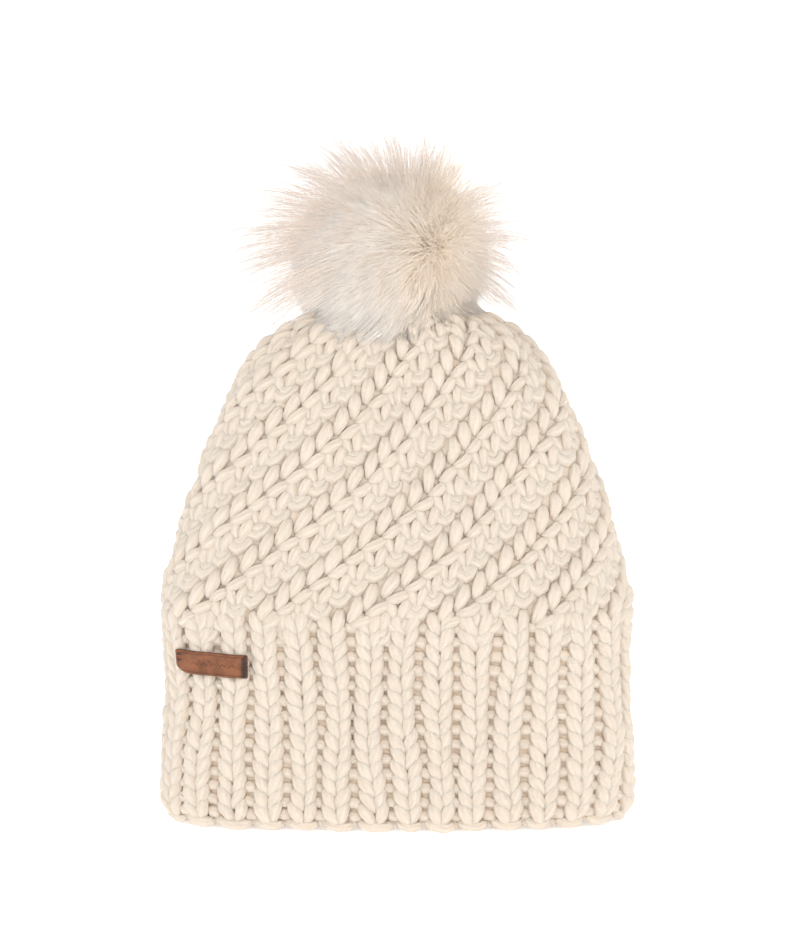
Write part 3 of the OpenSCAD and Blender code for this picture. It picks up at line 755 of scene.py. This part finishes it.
def buildPom(f):
    dice = np.random.default_rng(f["seed"])
    fur = furMaterial("creamFur", furLook)
    d = evenDirections(f["hairs"], dice, 0.03)
    d = d[d[:, 2] > f["lowest"][0]]
    clumpWay = evenDirections(f["clumps"], dice, 0.02)
    nearest = np.concatenate([np.argmax(block @ clumpWay.T, axis=1) for block in np.array_split(d, 12)])
    length = dice.uniform(*f["hairLength"], len(d))
    clumpLength = dice.uniform(*f["hairLength"], f["clumps"]) * 1.03
    own = hairPaths(f, d, length, dice, f["lean"])
    lead = hairPaths(f, clumpWay, clumpLength, dice, f["lean"])[nearest]
    outward = np.linspace(0, 1, f["points"])[None, :, None]
    pull = f["clumping"] * outward**1.4
    path = clearOfHat(own * (1 - pull) + lead * pull, 1.6 * mm)
    tone = 0.5 * dice.random(f["clumps"])[nearest] + 0.5 * dice.random(len(d))
    thick = f["thick"] * dice.uniform(0.7, 1.2, len(d))
    print("pom:", len(d), "hairs in", f["clumps"], "clumps")
    sector = np.floor((np.arctan2(d[:, 1], d[:, 0]) / (2 * np.pi) + 0.5) * 5).astype(int) % 5
    for k, name in enumerate(("left_front", "front", "right", "back", "left_back")):
        part = sector == k
        hairPiece("pom_fur_" + name, path[part], thick[part], tone[part], fur, ("pom_fur_cover",))
    d = evenDirections(f["wisps"], dice, 0.08)
    d = d[d[:, 2] > f["lowest"][1]]
    reach = dice.uniform(*f["wispLength"], len(d))
    left, right, high = (np.clip(side, 0, 1) for side in (-d[:, 0], d[:, 0], d[:, 2]))
    reach *= 1 + 0.22 * left + 0.12 * right + 0.45 * high
    mate = np.repeat(np.arange(len(d)), f["wispHairs"])
    near = unit(d[mate] + dice.normal(0, 0.075, (len(mate), 3)))
    own = hairPaths(f, near, reach[mate] * dice.uniform(0.6, 1, len(mate)), dice, f["wispLean"])
    pull = f["wispClumping"] * outward**0.9
    path = own * (1 - pull) + hairPaths(f, d, reach, dice, f["wispLean"])[mate] * pull
    hairPiece("pom_wisps", clearOfHat(path, 2 * mm), f["wispThick"] * dice.uniform(0.7, 1.1, len(mate)),
              dice.random(len(mate)), furMaterial("wispFur", wispLook))
    p = Paint("furBacking")
    where = p.place()
    pile = p.noise(where, 420, 4)
    cloth = p.finish(base_color=p.blend(pile, tint(226, 204, 178), tint(246, 236, 222)), roughness=0.9,
                     normal=p.bump(pile, 1.2 * mm))
    core = ballPiece("pom_backing_cloth", pomMiddle, coreSkin, 48, 96, cloth, "pom", "fur",
                     ("pom_fur_cover",))
    p = Paint("fibreFill")
    where = p.place()
    tuft = p.noise(where, 160, 5, 0.65)
    fill = p.finish(base_color=p.blend(tuft, (0.78, 0.78, 0.76, 1), (0.93, 0.93, 0.92, 1)), roughness=0.95,
                    normal=p.bump(tuft, 1.5 * mm))
    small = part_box("pom_filling")[1].x

    def lumps(d):  # a ball that one slow wave swells and sinks by 3 percent
        return d * (small * (0.965 + 0.03 * np.sin(7 * d[:, :1] + 9 * d[:, 1:2] + 5 * d[:, 2:])))

    stuffing = ballPiece("pom_stuffing", pomMiddle, lumps, 24, 48, fill, "pom", "filling", ("pom_filling",))


buildPom(pom)

# The leather label: a thin slab that bends with the ribs under it, with a pressed border and chevrons.
label = {
    "middle": (-89.5 * mm, 83 * mm), "size": (35 * mm, 11.5 * mm), "thick": 1.6 * mm, "lift": 1.0 * mm,
    "tilt": math.radians(-2), "corner": 5 * mm, "edgeRound": 0.8 * mm, "wave": 0.35 * mm,
    "border": 1.25 * mm, "borderLine": 0.28 * mm, "press": 0.28 * mm, "columns": 150, "rows": 54,
    "chevrons": 5, "pitch": 4.6 * mm, "shift": 1 * mm,  # their number, their step, how far right the row is
    "vee": (0.7 * mm, 0.9),                             # a chevron's height over the middle, and its slope
    "veeHalf": 1.7 * mm, "veeLine": 0.45 * mm,
    "leather": (150, 94, 64), "dark": (106, 64, 42), "edge": (86, 52, 36),
}


# Across and up on the label, in metres from its middle, as a share and a run on the hat.
def onLabel(f, x, y, rise):
    c, s = math.cos(f["tilt"]), math.sin(f["tilt"])
    acrossHat, upHat = f["middle"][0] + x * c - y * s, f["middle"][1] + x * s + y * c
    row, half = 60, hat["steps"] // 2  # an even row of the band, and its front half
    share = np.interp(acrossHat, hat["place"][row, half:, 0], np.arange(half, hat["steps"]) / hat["steps"])
    run = np.interp(upHat, hat["z"], hat["run"])
    ribWave = f["wave"] * np.cos(2 * np.pi * share * rib["columns"])
    return onHat(share, run, rise + ribWave + wandering(wander["lift"], share, run), True)[0]


# How far each point of the label is pressed in, 0 to 1: a line along the border and a row of chevrons.
def pressedOn(f, x, y):
    w, h = f["size"][0] / 2, f["size"][1] / 2
    toEdge = np.minimum(w - np.abs(x), h - np.abs(y))
    border = 1 - np.clip(np.abs(toEdge - f["border"]) / f["borderLine"], 0, 1)
    start = -0.5 * (f["chevrons"] - 1) * f["pitch"] + f["shift"]
    k = np.clip(np.round((x - start) / f["pitch"]), 0, f["chevrons"] - 1)
    away = np.abs(x - start - k * f["pitch"])
    vee = np.abs(y - (f["vee"][0] - f["vee"][1] * away))
    marks = (1 - np.clip(vee / f["veeLine"], 0, 1)) * (away < f["veeHalf"])
    return np.maximum(border, marks) ** 0.7


# Front and back faces on one grid, whose ends are rounded, joined by a rim of quads. The front sinks by
# 1 - sqrt(1 - u^2) over its last half millimetre.
def buildLabel(f):
    w, h = f["size"][0] / 2, f["size"][1] / 2
    even = np.linspace(0, 1, f["columns"])
    x = -w + 2 * w * even[None]

    def inset(gap, radius):  # how much a rounded corner takes off at a distance from the end
        near = np.clip(radius - gap, 0, radius)
        return radius - np.sqrt(radius**2 - near**2)

    low = -h + inset(x + w, f["corner"]) + inset(w - x, f["edgeRound"])
    high = h - inset(x + w, f["edgeRound"]) - inset(w - x, f["edgeRound"])
    up = np.linspace(0, 1, f["rows"])[:, None]
    x = np.repeat(x, f["rows"], 0)
    y = low + (high - low) * up
    toEdge = np.minimum(np.minimum(y - low, high - y), np.minimum(x + w, w - x))
    rounded = 0.35 * mm * (1 - np.sqrt(1 - (1 - np.clip(toEdge / (0.5 * mm), 0, 1)) ** 2))
    pressed = pressedOn(f, x, y)
    front = onLabel(f, x, y, f["lift"] + f["thick"] - rounded - pressed * f["press"])
    back = onLabel(f, x, y, f["lift"] + rounded * 0.6)
    rows, columns = x.shape
    atRow, atColumn = cellCorners(rows - 1, columns - 1, flip=True)
    face = atRow * columns + atColumn
    flip = face[:, ::-1] + rows * columns
    rim = np.concatenate([np.arange(columns), np.arange(1, rows) * columns + columns - 1,
                          (rows - 1) * columns + np.arange(columns - 2, -1, -1),
                          np.arange(rows - 2, 0, -1) * columns])
    nextRim = np.roll(rim, -1)
    side = np.stack([rim, rim + rows * columns, nextRim + rows * columns, nextRim], 1)
    uvFace = np.stack([atColumn / (columns - 1), 0.47 * atRow / (rows - 1)], -1)
    share = np.arange(len(rim))[:, None] + np.array([[0, 0, 1, 1]])
    uvSide = np.stack([share / len(rim), np.tile([0.96, 1.0, 1.0, 0.96], (len(rim), 1))], -1)
    uv = np.concatenate([uvFace, uvFace[:, ::-1] + np.array([0, 0.48]), uvSide]).reshape(-1, 2)
    edge = np.clip(1 - toEdge / (0.7 * mm), 0, 1).ravel()
    made = addMesh("label_leather", np.concatenate([front.reshape(-1, 3), back.reshape(-1, 3)]),
                   [np.concatenate([face, flip, side])], {"OFBake": uv},
                   {"pressed": np.concatenate([pressed.ravel(), 0 * edge]), "edge": np.tile(edge, 2)})
    p = Paint("matLeather")
    where = p.place()
    grain = p.node("ShaderNodeTexVoronoi", {"feature": "DISTANCE_TO_EDGE"},
                   {"Vector": where, "Scale": 1900})
    cloud, fine = p.noise(where, 150, 4, 0.6), p.noise(where, 2600, 3)
    colour = p.blend(p.soft(cloud, 0.35, 0.68), tint(*f["dark"]), tint(*f["leather"]))
    colour = p.blend(p.attribute("pressed") * 0.8, colour, tint(*f["edge"]))
    colour = p.blend(p.soft(p.attribute("edge"), 0.2, 1.0) * 0.75, colour, tint(*f["edge"]))
    colour = p.blend(fine * 0.25, colour, tint(168, 116, 86))
    height = p.soft(grain, 0.0, 0.12) * 0.6 + fine * 0.4
    dress(made, p.finish(base_color=colour, roughness=0.56 + 0.2 * cloud, normal=p.bump(height, 0.12 * mm),
                         specular_ior_level=0.35), "hat", "leather", ("leather_label",))


# Thread laid in short slanted stitches on the label: a tack down its right end and two stitches at its left.
# A stitch arches by thick * (1.1 - 10 t^4), so that it dives in at both ends.
tack = {"count": 9, "inset": 1.5 * mm, "length": 2.6 * mm, "thick": 0.42 * mm, "slant": 0.45}


def buildTack(f, thread):
    w, h = label["size"][0] / 2, label["size"][1] / 2

    def row(x, y, dx, dy):
        t = np.linspace(-0.5, 0.5, 7)[None]
        arch = f["thick"] * (1.1 - 10 * t**4)
        px, py = x[:, None] + dx * t, y[:, None] + dy * t
        rise = label["lift"] + label["thick"] + arch
        path = onLabel(label, px, py, rise)
        up = unit(onLabel(label, px, py, rise + 1 * mm) - path)
        radius = np.full(path.shape[:2], f["thick"]) * np.array([0.5, 0.9, 1, 1, 1, 0.9, 0.5])
        return tubes(path, up, radius, None, 6)

    y = np.linspace(-h + 0.9 * mm, h - 0.9 * mm, f["count"])
    tackRow = row(np.full(len(y), w - f["inset"]), y, f["length"], f["length"] * f["slant"])
    makePiece("label_tack_thread", [tackRow], thread, "hat", "dark_thread", ("label_bar_tack",))
    endRow = row(np.full(2, -w + 1.6 * mm), np.array([3.4, 0.6]) * mm, 2.2 * mm, 0.2 * mm)
    makePiece("label_end_thread", [endRow], thread, "hat", "dark_thread", ("label_end_stitches",))


# Sewing thread: slanted waves in the object's own coordinates, so that it fits the CAD stitches too.
def threadMaterial(name, light, dark):
    p = Paint(name)
    where = p.place()
    wave = p.node("ShaderNodeTexWave", {"bands_direction": "DIAGONAL"},
                  {"Vector": where, "Scale": 700, "Distortion": 1.5, "Detail": 2}, "Fac")
    return p.finish(base_color=p.blend(wave, tint(*dark), tint(*light)), roughness=0.6,
                    normal=p.bump(wave, 0.08 * mm), sheen_weight=0.2)


darkThread = threadMaterial("darkThread", (74, 46, 34), (40, 24, 18))
paleThread = threadMaterial("paleThread", (244, 236, 222), (206, 192, 170))
buildLabel(label)
buildTack(tack, darkThread)

# The fleece inside the band: a strip with round edges, carried round the same superellipse as the hat and
# brushed to a low nap, which is even noise averaged over four neighbours.
fleece = {"thick": 2.7 * mm, "nap": 0.28 * mm, "around": 300, "face": 30, "seed": 31}


def buildFleece(f):
    low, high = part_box("fleece_band")
    turn = np.linspace(0, np.pi, 7)[1:-1]
    half = f["thick"] / 2
    z = np.linspace(low.z + half, high.z - half, f["face"])
    profile = np.concatenate([np.stack([np.full(len(z), half), z], 1),
                              np.stack([half * np.cos(turn), high.z - half + half * np.sin(turn)], 1),
                              np.stack([np.full(len(z), -half), z[::-1]], 1),
                              np.stack([-half * np.cos(turn), low.z + half - half * np.sin(turn)], 1)])
    middleX, middleY = high.x - half - 0.1 * mm, high.y - half - 0.1 * mm
    x, y, _ = outline(middleX, middleY, hatForm["power"], f["around"])
    way = unit(np.stack([np.roll(y, -1) - np.roll(y, 1), np.roll(x, 1) - np.roll(x, -1)], 1))
    dice = np.random.default_rng(f["seed"])
    nap = dice.random((len(profile), f["around"])) - 0.5
    nap = (nap + np.roll(nap, 1, 0) + np.roll(nap, 1, 1) + np.roll(nap, (1, 1), (0, 1))) / 2 * f["nap"]
    out = profile[:, :1] + nap * np.sign(profile[:, :1])
    tall = np.repeat(profile[:, 1:], f["around"], 1)
    grid = np.stack([x + way[:, 0] * out, y + way[:, 1] * out, tall], -1)
    p = Paint("brushedFleece")
    where = p.place()
    curl, fine = p.noise(where, 330, 4, 0.6), p.noise(where, 1700, 3)
    cloth = p.finish(base_color=p.blend(p.soft(curl, 0.3, 0.7), tint(222, 212, 196), tint(246, 240, 230)),
                     roughness=0.92, normal=p.bump(curl * 0.7 + fine * 0.3, 0.9 * mm), sheen_weight=0.4,
                     sheen_roughness=0.6)
    strip = loopPiece("fleece_lining", grid, np.zeros(grid.shape[:2]), cloth, "hat", "fleece",
                      ("fleece_band",))


careLabel = {"thin": 0.13 * mm, "rows": 18, "columns": 9}


# The blank care label: one strip of satin that runs down, turns in a half circle and runs up again.
def buildCareLabel(f):
    low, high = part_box("care_label")
    thin, gap = f["thin"], (high.y - low.y) / 2 - 0.07 * mm
    turn = np.linspace(0, np.pi, 9)[1:-1]
    z = np.linspace(high.z, low.z + gap + thin, f["rows"])
    y = (low.y + high.y) / 2
    side = np.concatenate([np.full(f["rows"], y + gap), y + gap * np.cos(turn), np.full(f["rows"], y - gap)])
    tall = np.concatenate([z, low.z + gap + thin - gap * np.sin(turn), z[::-1]])
    path = np.stack([np.full(len(side), (low.x + high.x) / 2), side, tall], 1)[None]
    ahead = np.gradient(path, axis=1)
    up = unit(np.cross(np.array([1.0, 0, 0]), ahead))
    wide = np.linspace(-1, 1, f["columns"]) * (high.x - low.x) / 2
    thick = np.repeat([thin / 2, -thin / 2], f["columns"])
    section = np.stack([np.concatenate([wide[::-1], wide]), thick], 1)
    p = Paint("wovenSatin")
    where = p.place()
    weave = p.node("ShaderNodeTexWave", {"bands_direction": "Z"},
                   {"Vector": where, "Scale": 900, "Distortion": 0.6, "Detail": 1}, "Fac")
    cloud = p.noise(where, 90)
    cloth = p.finish(base_color=p.blend(cloud, tint(236, 236, 232), tint(250, 250, 248)),
                     roughness=0.32 + 0.16 * weave, normal=p.bump(weave, 0.03 * mm), anisotropic=0.5,
                     sheen_weight=0.3)
    piece = makePiece("care_label_satin", [tubes(path, up, np.ones(path.shape[:2]), None, section=section)],
                      cloth, "care_label", "satin", ("care_label",))


buildFleece(fleece)
buildCareLabel(careLabel)

# The drawstring yarn round the gathered tip, and the tip itself, a puck of knit drawn into pleats.
gather = {
    "pleats": 13, "pleatDepth": 0.09, "swirl": 1.4, "plies": 2, "twists": 22, "around": 180, "sides": 12,
}


# The yarn is a ring as thick as thin * (0.9 + 0.1 cos(plies (v - twists u / 2))), u round the hat, v round it.
def buildGather(f):
    low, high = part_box("crown_gather_yarn")
    thin = (high.z - low.z) / 2
    u = (np.arange(f["around"]) * 2 * np.pi / f["around"])[None]
    v = (np.arange(f["sides"]) * 2 * np.pi / f["sides"])[:, None]
    r = thin * (0.9 + 0.1 * np.cos(f["plies"] * (v - f["twists"] * u / 2)))
    ring = high.x - thin + r * np.cos(v)
    grid = np.stack([ring * np.cos(u), ring * np.sin(u), (low.z + high.z) / 2 + r * np.sin(v)], -1)
    loopPiece("gather_yarn_ring", grid, np.full(grid.shape[:2], -1.5 * mm), yarnPaint, "gather", "yarn",
              ("crown_gather_yarn",))
    low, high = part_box("crown_tip")
    wide, half = high.x, (high.z - low.z) / 2

    def puck(d):  # a squashed ball: radius wide, height half, pleats that swirl and deepen to the rim
        flat = np.hypot(d[:, 0], d[:, 1])
        turn = np.arctan2(d[:, 1], d[:, 0])
        push = 1 - f["pleatDepth"] * flat**2 * (0.5 + 0.5 * np.cos(f["pleats"] * turn + f["swirl"] * flat))
        r = wide * np.minimum(flat * 1.15, 1) * push
        z = half * np.sign(d[:, 2]) * np.abs(d[:, 2]) ** 0.6
        return np.stack([r * np.cos(turn), r * np.sin(turn), z], 1)

    middle = (0, 0, (low.z + high.z) / 2)
    ballPiece("tip_knit", middle, puck, 28, 156, tipPaint, "tip", "yarn", ("crown_tip",))


# The knit where it has no map of its own: the yarn's colours with fibres and fluff in object coordinates.
def tipMaterial(look):
    p = Paint("tipYarn")
    where = p.place()
    fibre, fluff = p.noise(where, 900, 4, 0.6), p.noise(where, 260)
    colour = p.blend(p.soft(fluff, 0.25, 0.6), tint(*look["deep"]), tint(*look["lit"]))
    return p.finish(base_color=colour, roughness=0.85, normal=p.bump(fibre * 0.5 + fluff * 0.5, 0.6 * mm),
                    sheen_weight=0.25)


tipPaint = tipMaterial(yarnLook)
buildGather(gather)


# Finishes for the CAD pieces that keep their shape.
def feltMaterial():
    p = Paint("pressedFelt")
    where = p.place()
    hair, cloud = p.noise(where, 1500, 5, 0.7), p.noise(where, 240, 3)
    colour = p.blend(p.soft(hair * 0.6 + cloud * 0.4, 0.35, 0.65), tint(206, 196, 180), tint(238, 232, 220))
    return p.finish(base_color=colour, roughness=0.95, normal=p.bump(hair, 0.35 * mm), sheen_weight=0.3)


def plasticMaterial():
    p = Paint("mouldedSnap")
    where = p.place()
    fine, cloud = p.noise(where, 2200, 2), p.noise(where, 120)
    return p.finish(base_color=p.blend(cloud, tint(226, 222, 212), tint(242, 239, 231)),
                    roughness=0.36 + 0.14 * fine, normal=p.bump(fine, 0.02 * mm), subsurface_weight=0.1,
                    subsurface_scale=2 * mm)


def steelMaterial():
    p = Paint("springWire")
    where = p.place()
    draw = p.noise(where, 700, 3, 0.5, (1, 1, 9))
    return p.finish(base_color=p.blend(draw, tint(176, 176, 180), tint(222, 222, 226)), metallic=1.0,
                    roughness=0.22 + 0.2 * draw, normal=p.bump(draw, 0.01 * mm))


kept = {
    feltMaterial(): ("felt_washer", "pom_base_disc"),
    plasticMaterial(): ("snap_stud", "snap_stud_cap", "snap_socket", "snap_socket_cap"),
    steelMaterial(): ("snap_ring_spring",),
    paleThread: ("fleece_top_stitches", "fleece_bottom_stitches", "care_label_stitches", "pom_gather_thread"),
}
for paint, names in kept.items():
    for name in names:
        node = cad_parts[name]
        node.data.materials.clear()
        node.data.materials.append(paint)
print("finishes on", sum(len(names) for names in kept.values()), "CAD pieces")


# Floor and backdrop in one bowl, light from all round, a broad key from the upper right, a fill and a top.
studio = {
    "floor": 2.2, "bend": 1.0, "wall": 1.2, "glow": 0.5, "rings": 26, "sides": 64,
    "key": {"place": (0.55, -1.25, 1.45), "size": 0.9, "power": 8.8, "colour": (1.0, 0.985, 0.96)},
    "fill": {"place": (-1.3, -0.8, 0.55), "size": 1.2, "power": 2.6, "colour": (0.94, 0.97, 1.0)},
    "top": {"place": (0.0, 0.25, 1.7), "size": 1.0, "power": 1.6, "colour": (1.0, 0.99, 0.97)},
    "sky": 0.33,
    "cameraAim": (0.0015, 0.0, 0.172), "elevation": 5.5, "distance": 1.318, "lens": 100,
}


def aimAt(place, goal):
    return (Vector(goal) - Vector(place)).to_track_quat("-Z", "Y")


# The bowl is a profile turned about z: flat to the floor's radius, a quarter bend, then a straight wall.
def buildStudio(f):
    sides = f["sides"]
    t = np.linspace(0.02, 1, f["rings"])[:, None]
    bend = np.clip((t - 0.5) / 0.3, 0, 1) * np.pi / 2
    r = np.minimum(t / 0.5, 1) * f["floor"] + f["bend"] * np.sin(bend)
    z = f["bend"] * (1 - np.cos(bend)) + np.clip((t - 0.8) / 0.2, 0, 1) * f["wall"]
    k = np.arange(sides)
    turn = k[None] * 2 * np.pi / sides
    grid = np.stack([r * np.cos(turn), r * np.sin(turn), z + 0 * turn], -1).reshape(-1, 3)
    row, column = cellCorners(f["rings"] - 1, sides)
    quads = row * sides + column % sides
    middle = np.stack([np.full(sides, len(grid)), k, (k + 1) % sides], 1)
    floor = addMesh("studio_floor", np.concatenate([grid, [[0, 0, 0]]]), [quads, middle], {})
    p = Paint("paleFloor")
    tone = p.noise(p.place(), 3.0) * 0.01 + 0.985
    pale = p.blend(tone, (0.9, 0.9, 0.9, 1), (0.98, 0.98, 0.98, 1))
    floor.data.materials.append(p.finish(base_color=pale, roughness=0.9, emission_color=(1, 1, 1, 1),
                                         emission_strength=f["glow"]))
    for key in ("key", "fill", "top"):
        lamp = bpy.data.lights.new(key + "_light", "AREA")
        lamp.shape, lamp.size = "DISK", f[key]["size"]
        lamp.energy, lamp.color = f[key]["power"], f[key]["colour"]
        holder = bpy.data.objects.new(key + "_light", lamp)
        holder.location = f[key]["place"]
        holder.rotation_mode = "QUATERNION"
        holder.rotation_quaternion = aimAt(f[key]["place"], (0, 0, 0.16))
        scene.collection.objects.link(holder)
    world = bpy.data.worlds.new("studio")
    world.use_nodes = True
    sky = world.node_tree.nodes["Background"].inputs
    sky["Color"].default_value = (1, 1, 1, 1)
    sky["Strength"].default_value = f["sky"]
    scene.world = world
    scene.view_settings.view_transform = "Standard"  # a white studio stays white
    up = math.radians(f["elevation"])
    aim = Vector(f["cameraAim"])
    camera = bpy.data.objects.new("camera", bpy.data.cameras.new("camera"))
    camera.data.lens = f["lens"]
    camera.location = aim + Vector((0, -math.cos(up), math.sin(up))) * f["distance"]
    camera.rotation_mode = "QUATERNION"
    camera.rotation_quaternion = aimAt(camera.location, aim)
    scene.collection.objects.link(camera)
    scene.camera = camera


buildStudio(studio)
